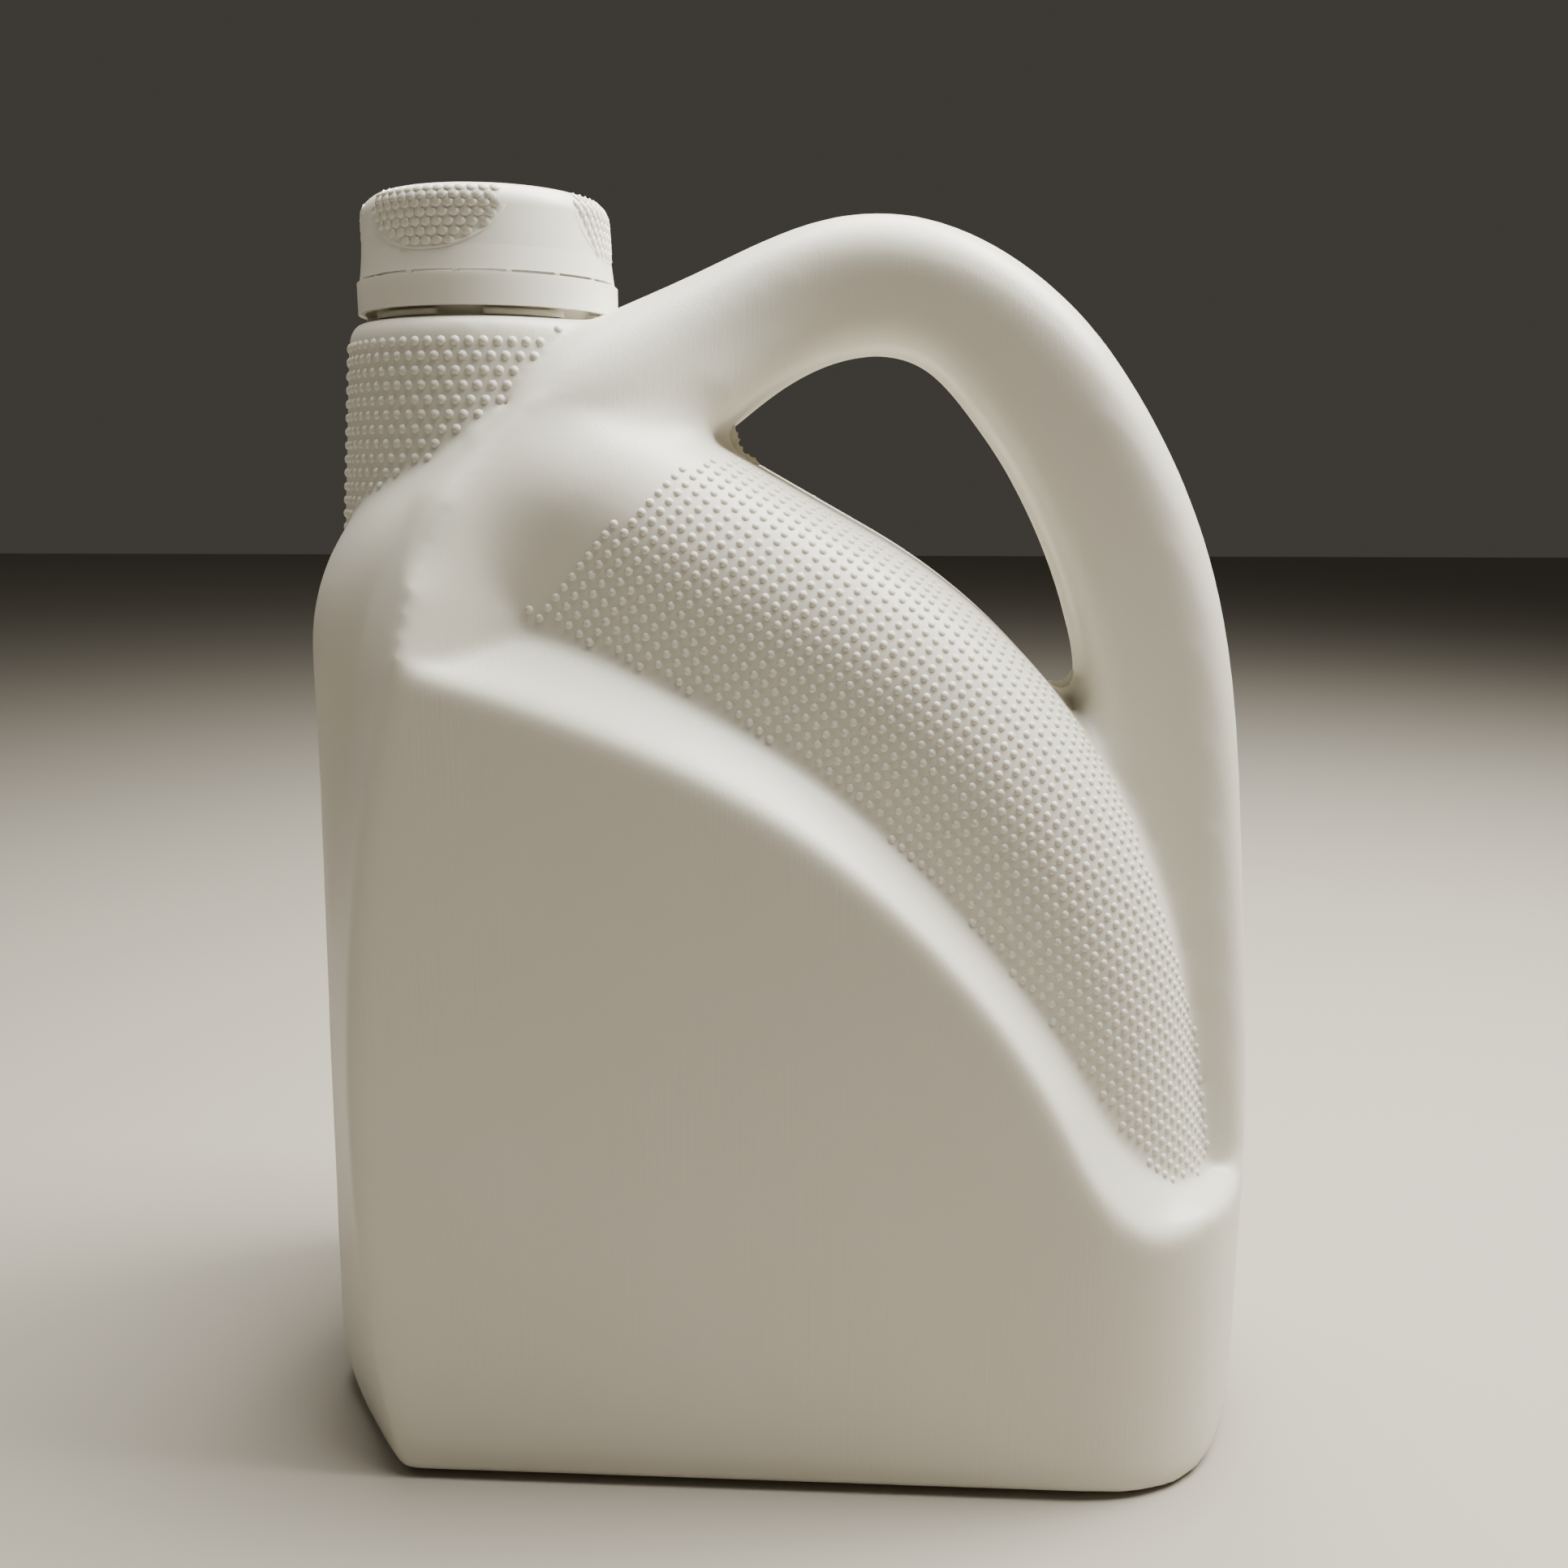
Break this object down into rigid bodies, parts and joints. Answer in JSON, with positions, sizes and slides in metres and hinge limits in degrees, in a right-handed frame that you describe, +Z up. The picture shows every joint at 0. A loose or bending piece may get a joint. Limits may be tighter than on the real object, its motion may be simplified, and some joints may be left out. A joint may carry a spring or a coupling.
{
  "type": "lubricant bottle",
  "caption": "Blow-moulded plastic canister with a side handle, dotted grip panels, a dotted neck collar, and a screw cap over a tamper band.",
  "frame": {"origin": "centre of the bounding box at the base it stands on", "axes": "+X towards the handle, +Y towards the back label face, +Z up"},
  "size_m": [0.2216, 0.118, 0.285],
  "materials": {
    "bottle": "satin off-white polyethylene, blow-moulded",
    "cap": "satin off-white moulded plastic",
    "liner": "soft white foam disc",
    "band": "satin off-white moulded plastic"
  },
  "bodies": {
    "bottle": {"bottle": "bottle", "tamper_band": "band"},
    "liner": {"cap_liner": "liner"},
    "cap": {"cap": "cap"}
  },
  "joints": [
    {"name": "cap_lift", "type": "slide", "parent": "bottle", "child": "liner", "axis": [0, 0, 1], "range_m": [0, 0.03]},
    {"name": "cap_turn", "type": "hinge", "parent": "liner", "child": "cap", "pos_m": [-0.067, 0, 0.275], "axis": [0, 0, 1], "range_deg": [0, 1800]}
  ],
  "couplings": [
    {"joint": "cap_lift", "follows": "cap_turn", "m_per_rad": 0.00095493}
  ]
}
